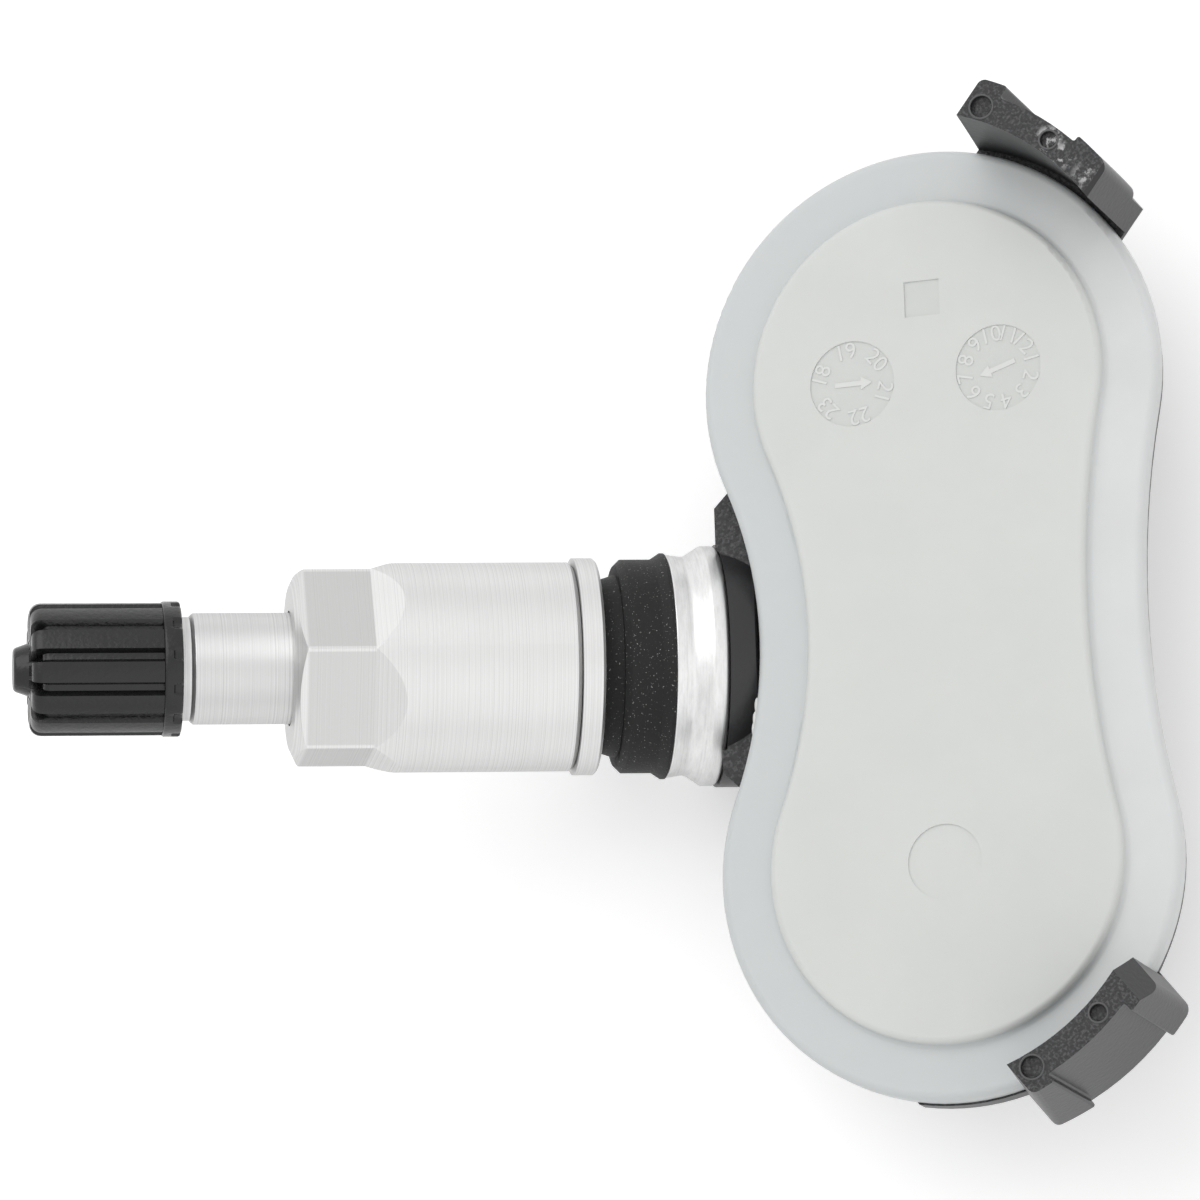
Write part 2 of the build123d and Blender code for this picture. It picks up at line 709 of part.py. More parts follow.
pieces = {
    "housing": housing(),
    "lid": lid(),
    "valve_stem": on_stem(valve_stem()),
    "rim_grommet": on_stem(rim_grommet()),
    "nut_washer": on_stem(nut_washer()),
    "stem_nut": on_stem(stem_nut()),
    "valve_cap": on_stem(valve_cap()),
    "cap_seal": on_stem(cap_seal()),
    "core_barrel": on_stem(core_barrel()),
    "core_gasket": on_stem(core_gasket()),
    "core_pin": on_stem(core_pin()),
    "core_cup": on_stem(core_cup()),
    "core_spring": on_stem(core_spring()),
    "circuit_board": circuit_board(),
    "coin_cell": coin_cell(),
    "lower_tab": lower_tab(),
    "upper_tab": upper_tab(),
    "sensor_chip": sensor_chip(),
    "port_gasket": port_gasket(),
    "port_filter": port_filter(),
    "ferrite_core": ferrite_core(),
    "coil_winding": coil_winding(),
    "crystal": crystal(),
    "loop_antenna": loop_antenna(),
}

os.makedirs("parts", exist_ok=True)
for name, piece in pieces.items():
    export_step(piece, f"parts/{name}.step")
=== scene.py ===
import math

import bmesh
import bpy
from mathutils import Matrix, Vector


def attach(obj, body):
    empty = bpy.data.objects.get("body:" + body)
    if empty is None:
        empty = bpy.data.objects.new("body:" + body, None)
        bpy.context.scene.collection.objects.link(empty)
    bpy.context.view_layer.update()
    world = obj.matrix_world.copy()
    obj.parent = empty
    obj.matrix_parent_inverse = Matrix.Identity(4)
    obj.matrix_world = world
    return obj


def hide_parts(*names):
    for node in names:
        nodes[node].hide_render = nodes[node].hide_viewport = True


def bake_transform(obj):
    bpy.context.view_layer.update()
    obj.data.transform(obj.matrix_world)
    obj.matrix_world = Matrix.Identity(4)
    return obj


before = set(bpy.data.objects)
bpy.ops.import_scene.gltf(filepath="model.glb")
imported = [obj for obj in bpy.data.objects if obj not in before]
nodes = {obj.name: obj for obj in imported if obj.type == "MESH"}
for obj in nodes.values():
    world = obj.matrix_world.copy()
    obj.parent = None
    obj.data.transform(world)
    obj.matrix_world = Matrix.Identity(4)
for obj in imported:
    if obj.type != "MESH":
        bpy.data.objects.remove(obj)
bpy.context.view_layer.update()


# Housing. The black tub with its weld flange, stem neck, smooth half dome and two feet is one injection moulding
# in glass-filled nylon. The jaws and the foot pads come from an eroded part of the mould, the rest is smoother.
def new_material(name):
    """An empty node material with its principled shader."""
    material = bpy.data.materials.new(name)
    material.use_nodes = True
    tree = material.node_tree
    return material, tree, tree.nodes["Principled BSDF"]


def add_node(tree, kind, **settings):
    """Adds a shader node and sets its sockets by name, or its own settings."""
    node = tree.nodes.new(kind)
    for key, value in settings.items():
        socket = node.inputs.get(key.replace("_", " ").title())
        if socket is not None:
            socket.default_value = value
        else:
            setattr(node, key, value)
    return node


def object_coords(tree):
    """The piece's own coordinates, in metres."""
    return tree.nodes.new("ShaderNodeTexCoord").outputs["Object"]


def noise(tree, coords, scale, detail=2.0, roughness=0.5):
    """Soft cloudy noise with the given number of clouds per metre."""
    node = add_node(tree, "ShaderNodeTexNoise", scale=scale, detail=detail, roughness=roughness)
    tree.links.new(coords, node.inputs["Vector"])
    return node.outputs["Fac"]


def ramp(tree, factor, low, high, low_value, high_value):
    """Stretches a factor between two limits to a new pair of values."""
    node = add_node(tree, "ShaderNodeMapRange")
    tree.links.new(factor, node.inputs["Value"])
    for socket, value in zip(("From Min", "From Max", "To Min", "To Max"), (low, high, low_value, high_value)):
        node.inputs[socket].default_value = value
    return node.outputs["Result"]


def blend_colours(tree, factor, first, second):
    """Mixes two colours by a factor."""
    node = tree.nodes.new("ShaderNodeMix")
    node.data_type = "RGBA"
    tree.links.new(factor, node.inputs["Factor"])
    node.inputs["A"].default_value = (*first, 1)
    node.inputs["B"].default_value = (*second, 1)
    return node.outputs["Result"]


def relief(tree, shader, height, depth):
    """Bump of the given depth in metres."""
    bump = add_node(tree, "ShaderNodeBump", strength=1.0, distance=depth)
    tree.links.new(height, bump.inputs["Height"])
    tree.links.new(bump.outputs["Normal"], shader.inputs["Normal"])


def uneven_gloss(tree, shader, pattern, gloss, spread):
    """Lets the roughness vary around its mean by a pattern."""
    roughness = ramp(tree, pattern, 0.3, 0.7, gloss - spread, gloss + spread)
    tree.links.new(roughness, shader.inputs["Roughness"])


CLOUD_SCALE = 160
GLOSS_SCALE = 900
GLOSS_SPREAD = 0.05


def moulded_plastic(name, colour, shade, grain, depth, gloss):
    """Moulded plastic: two close colours in clouds, a fine grain and slightly uneven gloss."""
    material, tree, shader = new_material(name)
    coords = object_coords(tree)
    clouds = noise(tree, coords, CLOUD_SCALE, 4)
    tree.links.new(blend_colours(tree, clouds, colour, shade), shader.inputs["Base Color"])
    uneven_gloss(tree, shader, noise(tree, coords, GLOSS_SCALE, 3), gloss, GLOSS_SPREAD)
    relief(tree, shader, noise(tree, coords, grain, 3), depth)
    return material


def axes(tree, vector):
    """The X, Y and Z parts of a vector."""
    split = tree.nodes.new("ShaderNodeSeparateXYZ")
    tree.links.new(vector, split.inputs["Vector"])
    return split.outputs


SLOPING_NORMAL = 0.90
LEVEL_NORMAL = 0.97


def facing_up(tree):
    """Factor that is one on level faces and fades on slopes and walls."""
    normal = tree.nodes.new("ShaderNodeTexCoord").outputs["Normal"]
    return ramp(tree, axes(tree, normal)["Z"], SLOPING_NORMAL, LEVEL_NORMAL, 0, 1)


def near(tree, coords, place, inside, outside):
    """Factor that is one around a place and fades to zero between two distances."""
    node = add_node(tree, "ShaderNodeVectorMath", operation="DISTANCE")
    tree.links.new(coords, node.inputs[0])
    node.inputs[1].default_value = place
    return ramp(tree, node.outputs["Value"], inside, outside, 1, 0)


def combine(tree, operation, first, second):
    """Joins two factors by a sum, product or other operation."""
    node = add_node(tree, "ShaderNodeMath", operation=operation)
    tree.links.new(first, node.inputs[0])
    tree.links.new(second, node.inputs[1])
    return node.outputs["Value"]


def tint(tree, factor, below, colour):
    """Lays a colour over another colour output by a factor."""
    node = tree.nodes.new("ShaderNodeMix")
    node.data_type = "RGBA"
    tree.links.new(factor, node.inputs["Factor"])
    tree.links.new(below, node.inputs["A"])
    node.inputs["B"].default_value = (*colour, 1)
    return node.outputs["Result"]


FOOT_TOP = 0.0240
MARK_SCUFF = (0.01196, 0.03145, FOOT_TOP)
PATCH_SCUFF = (0.0130, 0.0302, FOOT_TOP)
TRAIL_SCUFF = (0.0145, 0.0285, FOOT_TOP)
HOUSING_BLACK = (0.022, 0.022, 0.023)
HOUSING_GREY = (0.031, 0.031, 0.033)
GLINT_GREY = (0.095, 0.095, 0.098)
SCUFF_GREY = (0.58, 0.58, 0.58)
GLINT_SCALE = 4800
STREAK_SCALE = 900
GRAIN_SCALE = 2600
GRAIN_DEPTH = 0.00018
WALL_GRAIN = 0.12
WALL_ROUGHNESS = 0.36
PAD_ROUGHNESS = 0.50
HOUSING_SPECULAR = 0.42
housing_plastic, tree, shader = new_material("housing_plastic")
coords = object_coords(tree)
level = facing_up(tree)
black = blend_colours(tree, noise(tree, coords, CLOUD_SCALE, 4), HOUSING_BLACK, HOUSING_GREY)
# Painted glints: light grey specks laid on the level grained faces stand in for the light that the grain catches.
painted_glint = ramp(tree, noise(tree, coords, GLINT_SCALE, 2), 0.48, 0.66, 0, 0.8)
black = tint(tree, combine(tree, "MULTIPLY", painted_glint, level), black, GLINT_GREY)
streaks = ramp(tree, noise(tree, coords, STREAK_SCALE, 5, 0.7), 0.52, 0.59, 0, 1)
worn = near(tree, coords, MARK_SCUFF, 0.0007, 0.0011)
worn = combine(tree, "MAXIMUM", worn, near(tree, coords, PATCH_SCUFF, 0.0004, 0.0011))
worn = combine(tree, "MAXIMUM", worn, near(tree, coords, TRAIL_SCUFF, 0.0000, 0.0012))
worn = combine(tree, "MULTIPLY", worn, level)
scuffs = combine(tree, "MULTIPLY", streaks, worn)
black = tint(tree, scuffs, black, SCUFF_GREY)
tree.links.new(black, shader.inputs["Base Color"])
tree.links.new(ramp(tree, level, 0, 1, WALL_ROUGHNESS, PAD_ROUGHNESS), shader.inputs["Roughness"])
shader.inputs["Specular IOR Level"].default_value = HOUSING_SPECULAR
grain = combine(tree, "MULTIPLY", noise(tree, coords, GRAIN_SCALE, 3), ramp(tree, level, 0, 1, WALL_GRAIN, 1))
relief(tree, shader, grain, GRAIN_DEPTH)
nodes["housing"].data.materials[0] = housing_plastic


def shade_smooth(shape):
    """Shades all faces of a mesh shape smooth."""
    for face in shape.faces:
        face.smooth = True


def new_piece(name, shape, material):
    """Makes an object of one material from a finished mesh shape."""
    mesh = bpy.data.meshes.new(name)
    shape.to_mesh(mesh)
    shape.free()
    mesh.materials.append(material)
    piece = bpy.data.objects.new(name, mesh)
    bpy.context.collection.objects.link(piece)
    return piece


def add_piece(name, shape, material, body):
    """Makes a part of the object and ties it to its body and material slot."""
    piece = new_piece(name, shape, material)
    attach(piece, body)
    return piece


def spin_profile(shape, points, steps):
    """Adds a turned body: a closed profile of (radius, height) in mm, spun about the Z axis."""
    old_verts = set(shape.verts)
    verts = [shape.verts.new((radius * 0.001, 0, height * 0.001)) for radius, height in points]
    edges = [shape.edges.new((first, second)) for first, second in zip(verts, verts[1:] + verts[:1])]
    bmesh.ops.spin(
        shape, geom=verts + edges, cent=(0, 0, 0), axis=(0, 0, 1), angle=2 * math.pi, steps=steps, use_merge=True
    )
    added = [vert for vert in shape.verts if vert not in old_verts]
    bmesh.ops.remove_doubles(shape, verts=added, dist=1e-7)
    bmesh.ops.recalc_face_normals(shape, faces=shape.faces)
    return [vert for vert in shape.verts if vert not in old_verts]


LOBE_Y = 0.0176
FOOT_TURN = math.radians(-38)
PAD_RADIUS = 0.0183
UPPER_MARKS = (-0.0047, 0.0009)
LOWER_MARKS = (-0.0040, 0.0019)
TAIL_RIM_RADIUS = 0.86
SMALL_RIM_RADIUS = 0.68
RIM_ROUND = 0.08
RIM_CORNERS = 8
RIM_STEPS = 32
mark_rims = bmesh.new()
for side, marks in ((1, UPPER_MARKS), (-1, LOWER_MARKS)):
    for along, radius in zip(marks, (TAIL_RIM_RADIUS, SMALL_RIM_RADIUS)):
        angles = [2 * math.pi * corner / RIM_CORNERS for corner in range(RIM_CORNERS)]
        rim_section = [(radius + RIM_ROUND * math.cos(a), RIM_ROUND * math.sin(a)) for a in angles]
        place = Matrix.Rotation(FOOT_TURN, 3, "Z") @ Vector((along, math.sqrt(PAD_RADIUS**2 - along**2), 0))
        rim = spin_profile(mark_rims, rim_section, RIM_STEPS)
        bmesh.ops.translate(mark_rims, verts=rim, vec=(place.x, side * (place.y + LOBE_Y), FOOT_TOP))
shade_smooth(mark_rims)
rim_plastic = moulded_plastic("rim_plastic", (0.060, 0.060, 0.062), (0.140, 0.140, 0.142), 3000, 0.00003, 0.45)
add_piece("ejector_mark_rims", mark_rims, rim_plastic, "sensor")


# Electronics. A printed board lies on the tub's ledge with a coin cell strapped on it, the pressure sensor below it,
# and the wake-up coil, crystal and wire antenna on top. All of it is sealed under the lid.
board_lacquer = moulded_plastic("board_lacquer", (0.020, 0.150, 0.060), (0.030, 0.190, 0.080), 3000, 0.00001, 0.30)
nodes["circuit_board"].data.materials[0] = board_lacquer
chip_resin = moulded_plastic("chip_resin", (0.020, 0.020, 0.021), (0.030, 0.030, 0.030), 6000, 0.00001, 0.55)
nodes["sensor_chip"].data.materials[0] = chip_resin
ferrite = moulded_plastic("ferrite", (0.060, 0.060, 0.062), (0.080, 0.080, 0.080), 5000, 0.00002, 0.62)
nodes["ferrite_core"].data.materials[0] = ferrite
filter_felt = moulded_plastic("filter_felt", (0.780, 0.780, 0.760), (0.700, 0.700, 0.680), 9000, 0.00005, 0.90)
nodes["port_filter"].data.materials[0] = filter_felt
soft_gasket = moulded_plastic("soft_gasket", (0.180, 0.180, 0.180), (0.220, 0.220, 0.220), 4000, 0.00002, 0.80)
nodes["port_gasket"].data.materials[0] = soft_gasket


METAL_CLOUD_SCALE = 400
SCRATCH_DEPTH = 0.000004


def worked_metal(name, colour, shade, gloss, grain):
    """Bare sheet or wire: metal with fine random scratches of uneven gloss."""
    material, tree, shader = new_material(name)
    coords = object_coords(tree)
    shader.inputs["Metallic"].default_value = 1.0
    clouds = noise(tree, coords, METAL_CLOUD_SCALE, 3)
    tree.links.new(blend_colours(tree, clouds, colour, shade), shader.inputs["Base Color"])
    uneven_gloss(tree, shader, noise(tree, coords, grain, 4), gloss, 0.06)
    relief(tree, shader, noise(tree, coords, grain, 2), SCRATCH_DEPTH)
    return material


cell_can = worked_metal("cell_can", (0.62, 0.62, 0.61), (0.54, 0.54, 0.54), 0.34, 2600)
nodes["coin_cell"].data.materials[0] = cell_can
nickel_strip = worked_metal("nickel_strip", (0.66, 0.63, 0.57), (0.58, 0.56, 0.51), 0.30, 3200)
nodes["lower_tab"].data.materials[0] = nickel_strip
nodes["upper_tab"].data.materials[0] = nickel_strip
crystal_can = worked_metal("crystal_can", (0.66, 0.64, 0.58), (0.60, 0.58, 0.52), 0.26, 3000)
nodes["crystal"].data.materials[0] = crystal_can
copper_winding = worked_metal("copper_winding", (0.62, 0.27, 0.11), (0.50, 0.20, 0.08), 0.32, 5000)
nodes["coil_winding"].data.materials[0] = copper_winding
tinned_wire = worked_metal("tinned_wire", (0.66, 0.54, 0.36), (0.60, 0.50, 0.34), 0.30, 2800)
nodes["loop_antenna"].data.materials[0] = tinned_wire


# Lid. A natural white nylon cover, slightly translucent, is laser welded on the flange. Its plateau carries the
# mould's two date dials with their arrows, the sprue's round mark and a square ejector mark.
RIM_TOP = 0.0150
PLATEAU_TOP = 0.0159
MARK_DEPTH = 0.00012
DIAL_X = 0.0054
DIAL_RADIUS = 0.003125
SQUARE_Y = LOBE_Y + 0.0057
SQUARE_HALF = 0.0013
LIT_RIM_FROM = 0.006
LIT_RIM_TO = 0.013
RIM_WHITE = (0.640, 0.668, 0.672)
LIT_RIM_WHITE = (0.755, 0.768, 0.768)
PLATEAU_WHITE = (0.715, 0.730, 0.708)
CLOUD_GREY = (0.655, 0.670, 0.652)
MARK_GREY = (0.672, 0.687, 0.666)
LID_ROUGHNESS = 0.45
LID_GRAIN_SCALE = 700
LID_GRAIN_DEPTH = 0.00002
mark_floor = PLATEAU_TOP - MARK_DEPTH
lid_nylon, tree, shader = new_material("lid_nylon")
coords = object_coords(tree)
lid_place = axes(tree, coords)
on_plateau = ramp(tree, lid_place["Z"], RIM_TOP + 0.0002, PLATEAU_TOP - 0.0003, 0, 1)
# Painted light: the rim is painted whiter towards +X, its right-hand side, where the light falls on it.
lit_rim_side = ramp(tree, lid_place["X"], LIT_RIM_FROM, LIT_RIM_TO, 0, 1)
rim_nylon = blend_colours(tree, lit_rim_side, RIM_WHITE, LIT_RIM_WHITE)
nylon = tint(tree, on_plateau, rim_nylon, PLATEAU_WHITE)
cloud = ramp(tree, noise(tree, coords, 140, 4), 0.35, 0.75, 0, 0.35)
nylon = tint(tree, cloud, nylon, CLOUD_GREY)
disc_edge = (DIAL_RADIUS - 0.00004, DIAL_RADIUS + 0.00002)
year_disc = near(tree, coords, (-DIAL_X, LOBE_Y, mark_floor), *disc_edge)
month_disc = near(tree, coords, (DIAL_X, LOBE_Y, mark_floor), *disc_edge)
discs = combine(tree, "MAXIMUM", year_disc, month_disc)
below_plateau = ramp(tree, lid_place["Z"], mark_floor + 0.00001, mark_floor + 0.00004, 1, 0)
square = near(tree, coords, (0, SQUARE_Y, mark_floor), SQUARE_HALF * 1.42, SQUARE_HALF * 1.43)
marks = combine(tree, "MULTIPLY", combine(tree, "MAXIMUM", discs, square), below_plateau)
marks = combine(tree, "MULTIPLY", marks, ramp(tree, noise(tree, coords, 1500, 3), 0.2, 0.8, 0.7, 1.0))
nylon = tint(tree, marks, nylon, MARK_GREY)
tree.links.new(nylon, shader.inputs["Base Color"])
uneven_gloss(tree, shader, noise(tree, coords, GLOSS_SCALE, 3), LID_ROUGHNESS, GLOSS_SPREAD)
shader.inputs["Subsurface Weight"].default_value = 0.2
shader.inputs["Subsurface Radius"].default_value = (0.0010, 0.0011, 0.0013)
shader.inputs["Subsurface Scale"].default_value = 1.0
relief(tree, shader, noise(tree, coords, LID_GRAIN_SCALE, 3), LID_GRAIN_DEPTH)
nodes["lid"].data.materials[0] = lid_nylon


LABEL_RISE = 0.00006
LABEL_SIZE = 0.00165
YEAR_FROM = 18
YEAR_COUNT = 6
YEAR_START_TURN = 70
YEAR_CIRCLE = 0.76 * DIAL_RADIUS
MONTH_COUNT = 12
MONTH_START_TURN = 311
MONTH_CIRCLE = 0.78 * DIAL_RADIUS
MONTH_ARROW_TURN = math.radians(198)
SHAFT_AT = -0.0003
SHAFT_LENGTH = 0.0020
SHAFT_WIDTH = 0.00034
HEAD_AT = 0.0009
HEAD_RADIUS = 0.00055


def add_label(shape, label, size, place):
    """Adds a number as a raised flat mesh, centred on its place."""
    curve = bpy.data.curves.new("label", "FONT")
    curve.body = label
    curve.size = size
    curve.extrude = LABEL_RISE / 2
    curve.align_x = "CENTER"
    curve.align_y = "CENTER"
    holder = bpy.data.objects.new("label", curve)
    mesh = bpy.data.meshes.new_from_object(holder)
    mesh.transform(place)
    shape.from_mesh(mesh)
    bpy.data.objects.remove(holder)
    bpy.data.curves.remove(curve)
    bpy.data.meshes.remove(mesh)


def add_arrow(shape, place):
    """Adds a raised arrow that points along its own X axis."""
    shaft_size = Matrix.Diagonal((SHAFT_LENGTH, SHAFT_WIDTH, 0.9 * LABEL_RISE, 1))
    bmesh.ops.create_cube(shape, size=1, matrix=place @ Matrix.Translation((SHAFT_AT, 0, 0)) @ shaft_size)
    bmesh.ops.create_cone(
        shape,
        cap_ends=True,
        segments=3,
        radius1=HEAD_RADIUS,
        radius2=HEAD_RADIUS,
        depth=LABEL_RISE,
        matrix=place @ Matrix.Translation((HEAD_AT, 0, 0)) @ Matrix.Rotation(-math.pi / 2, 4, "Z"),
    )


dials = bmesh.new()
label_z = mark_floor + LABEL_RISE / 2
year_dial = Matrix.Translation((-DIAL_X, LOBE_Y, label_z))
month_dial = Matrix.Translation((DIAL_X, LOBE_Y, label_z))
for step in range(YEAR_COUNT):
    turn = Matrix.Rotation(math.radians(YEAR_START_TURN - 360 / YEAR_COUNT * step), 4, "Z")
    outward = Matrix.Translation((0, YEAR_CIRCLE, 0))
    add_label(dials, str(YEAR_FROM + step), LABEL_SIZE, year_dial @ turn @ outward)
for month in range(1, MONTH_COUNT + 1):
    turn = Matrix.Rotation(math.radians(MONTH_START_TURN - 360 / MONTH_COUNT * month), 4, "Z")
    outward = Matrix.Translation((0, MONTH_CIRCLE, 0))
    add_label(dials, str(month), LABEL_SIZE, month_dial @ turn @ outward)
add_arrow(dials, year_dial)
add_arrow(dials, month_dial @ Matrix.Rotation(MONTH_ARROW_TURN, 4, "Z"))
label_nylon = moulded_plastic("label_nylon", (0.760, 0.772, 0.755), (0.740, 0.752, 0.735), 1500, 0.00001, 0.42)
add_piece("date_dials", dials, label_nylon, "sensor")

FLASH_PLACES = ((-0.01378, -0.0048, 0.0143), (-0.01392, -0.0058, 0.0144), (-0.01405, -0.0065, 0.0143))
FLASH_SIZE = (0.00022, 0.00066, 0.0003)
flash = bmesh.new()
for place in FLASH_PLACES:
    blob = Matrix.Translation(place) @ Matrix.Diagonal((*FLASH_SIZE, 1))
    bmesh.ops.create_icosphere(flash, subdivisions=3, radius=1, matrix=blob)
shade_smooth(flash)
add_piece("weld_flash", flash, label_nylon, "sensor")


# Valve stem. Turned from aluminium bar: the seat ring against the housing, a waisted flange, the clamp thread under
# the nut, the plain shank and the valve thread under the cap.
STEM_TILT = math.radians(25)
SEAT = Vector((-0.018904, 0, 0.007712))
stem_to_part = Matrix.Translation(SEAT) @ Matrix.Rotation(STEM_TILT - math.pi / 2, 4, "Y")


def stem_coords(tree):
    """Coordinates along the stem: Z is its axis, counted from the seat."""
    turn = Matrix.Rotation(math.pi / 2 - STEM_TILT, 3, "Y")
    mapping = add_node(tree, "ShaderNodeMapping")
    mapping.inputs["Rotation"].default_value = (0, math.pi / 2 - STEM_TILT, 0)
    mapping.inputs["Location"].default_value = -(turn @ SEAT)
    tree.links.new(object_coords(tree), mapping.inputs["Vector"])
    return mapping.outputs["Vector"]


RING_SHADE = 0.8
RING_GLOSS_SPREAD = 0.07
METAL_EDGE_TINT = (0.80, 0.80, 0.80, 1)


def turned_metal(name, colour, shade, gloss, pitch, depth):
    """Turned bar: rings of the tool's feed around the stem's axis, with uneven gloss."""
    material, tree, shader = new_material(name)
    shader.inputs["Metallic"].default_value = 1.0
    coords = stem_coords(tree)
    rings = tree.nodes.new("ShaderNodeTexNoise")
    rings.noise_dimensions = "1D"
    rings.inputs["Scale"].default_value = 1 / pitch
    rings.inputs["Detail"].default_value = 3
    tree.links.new(axes(tree, coords)["Z"], rings.inputs["W"])
    metal = blend_colours(tree, noise(tree, coords, 300, 4), colour, shade)
    ring_colour = [RING_SHADE * part for part in shade]
    metal = tint(tree, ramp(tree, rings.outputs["Fac"], 0.40, 0.72, 0, 0.55), metal, ring_colour)
    tree.links.new(metal, shader.inputs["Base Color"])
    shader.inputs["Specular Tint"].default_value = METAL_EDGE_TINT
    uneven_gloss(tree, shader, rings.outputs["Fac"], gloss, RING_GLOSS_SPREAD)
    relief(tree, shader, rings.outputs["Fac"], depth)
    return material


def rounded(corner, before, after, radius, steps=5):
    """Points of a round that replaces the corner between two straight runs of a profile."""
    corner, before, after = Vector(corner), Vector(before), Vector(after)
    to_before = (before - corner).normalized()
    to_after = (after - corner).normalized()
    half = to_before.angle(to_after) / 2
    centre = corner + (to_before + to_after).normalized() * radius / math.sin(half)
    start = (corner + to_before * radius / math.tan(half) - centre).normalized()
    end = (corner + to_after * radius / math.tan(half) - centre).normalized()
    return [tuple(centre + radius * start.slerp(end, step / steps)) for step in range(steps + 1)]


def add_thread(shape, root, crest, pitch, low, high):
    """Adds a screw thread's ridge around the stem between two lengths, in mm."""
    section = ((root - 0.05, -0.46), (crest, -0.08), (crest, 0.08), (root - 0.05, 0.46))
    verts = [shape.verts.new((radius * 0.001, 0, (low + side * pitch) * 0.001)) for radius, side in section]
    edges = [shape.edges.new((first, second)) for first, second in zip(verts, verts[1:] + verts[:1])]
    turns = (high - low) / pitch
    steps = round(turns * 40)
    before = set(shape.faces)
    bmesh.ops.spin(
        shape,
        geom=verts + edges,
        cent=(0, 0, 0),
        axis=(0, 0, 1),
        dvec=(0, 0, (high - low) * 0.001 / steps),
        angle=2 * math.pi * turns,
        steps=steps,
    )
    ridge = [face for face in shape.faces if face not in before]
    ends = {edge for face in ridge for edge in face.edges if len(edge.link_faces) == 1}
    ridge += bmesh.ops.holes_fill(shape, edges=list(ends), sides=4)["faces"]
    bmesh.ops.recalc_face_normals(shape, faces=ridge)


def finish_turned(name, shape, material, body, sharp_angle):
    """Places a turned shape on the tilted stem and shades it smooth but for its corners."""
    bmesh.ops.transform(shape, matrix=stem_to_part, verts=shape.verts)
    shade_smooth(shape)
    piece = add_piece(name, shape, material, body)
    piece.data.set_sharp_from_angle(angle=math.radians(sharp_angle))
    return piece


stem_aluminium = turned_metal("stem_aluminium", (0.66, 0.66, 0.657), (0.61, 0.61, 0.607), 0.42, 0.00011, 0.000005)
STEM_TAIL = 6.0
TAIL_RADIUS = 3.6
TAIL_GROOVE_RADIUS = 3.1
TAIL_GROOVE_FROM = -4
TAIL_GROOVE_TO = -2
STEM_BORE = 2.15
RING_RADIUS = 8.65
RING_LENGTH = 1.15
WAIST_RADIUS = 7.85
WAIST_AT = 2.35
FLANGE_RADIUS = 8.08
FLANGE_TOP = 3.8
CLAMP_THREAD_RADIUS = 4.95
CLAMP_THREAD_END = 22.0
CLAMP_RUNOUT = 0.95
CLAMP_PITCH = 1.0
SHANK_RADIUS = 4.0
SHANK_END = 37.75
RELIEF_RADIUS = 3.72
TIP_THREAD_RADIUS = 3.85
TIP_THREAD_FROM = 38.6
TIP_PITCH = 0.794
STEM_TIP = 47.2
TIP_CHAMFER = 0.2
CORE_BORE = 2.65
CORE_SEAT_TOP = 42.0
STEM_STEPS = 128
clamp_root = CLAMP_THREAD_RADIUS - 0.6 * CLAMP_PITCH
tip_root = TIP_THREAD_RADIUS - 0.55 * TIP_PITCH
ring_low = rounded((RING_RADIUS, 0), (TAIL_RADIUS, 0), (RING_RADIUS, RING_LENGTH), 0.45)
ring_high = rounded((RING_RADIUS, RING_LENGTH), (RING_RADIUS, 0), (WAIST_RADIUS, WAIST_AT), 0.40)
waist = rounded((WAIST_RADIUS, WAIST_AT), (RING_RADIUS, RING_LENGTH), (FLANGE_RADIUS, FLANGE_TOP), 0.8)
flange_edge = rounded((FLANGE_RADIUS, FLANGE_TOP), (WAIST_RADIUS, WAIST_AT), (clamp_root, FLANGE_TOP), 0.15)
# Painted highlight: the seat ring and flange, below 4 mm along the stem, are painted lighter; stretched noise breaks
# it up as real scratches.
LIT_FLANGE_TO = 0.0040
LIT_FLANGE_GREY = (0.81, 0.81, 0.806)
SCRATCH_SCALE = 700
SCRATCH_STRETCH = 5
tree = stem_aluminium.node_tree
shader = tree.nodes["Principled BSDF"]
coords = stem_coords(tree)
lit_flange = ramp(tree, axes(tree, coords)["Z"], LIT_FLANGE_TO - 0.0001, LIT_FLANGE_TO, 0.85, 0)
around = add_node(tree, "ShaderNodeMapping", scale=(1, 1, SCRATCH_STRETCH))
tree.links.new(coords, around.inputs["Vector"])
scratched = ramp(tree, noise(tree, around.outputs["Vector"], SCRATCH_SCALE, 5, 0.65), 0.38, 0.62, 0.5, 1)
lit_flange = combine(tree, "MULTIPLY", lit_flange, scratched)
turned_colour = shader.inputs["Base Color"].links[0].from_socket
tree.links.new(tint(tree, lit_flange, turned_colour, LIT_FLANGE_GREY), shader.inputs["Base Color"])
runout_end = CLAMP_THREAD_END + CLAMP_RUNOUT
relief_from = SHANK_END + SHANK_RADIUS - RELIEF_RADIUS
stem_profile = [(STEM_BORE, -STEM_TAIL), (TAIL_RADIUS, -STEM_TAIL)]
stem_profile += [(TAIL_RADIUS, TAIL_GROOVE_FROM), (TAIL_GROOVE_RADIUS, TAIL_GROOVE_FROM)]
stem_profile += [(TAIL_GROOVE_RADIUS, TAIL_GROOVE_TO), (TAIL_RADIUS, TAIL_GROOVE_TO), (TAIL_RADIUS, 0)]
stem_profile += ring_low + ring_high + waist + flange_edge
stem_profile += [(clamp_root, FLANGE_TOP), (clamp_root, CLAMP_THREAD_END), (SHANK_RADIUS, runout_end)]
stem_profile += rounded((SHANK_RADIUS, SHANK_END), (SHANK_RADIUS, runout_end), (RELIEF_RADIUS, relief_from), 0.15)
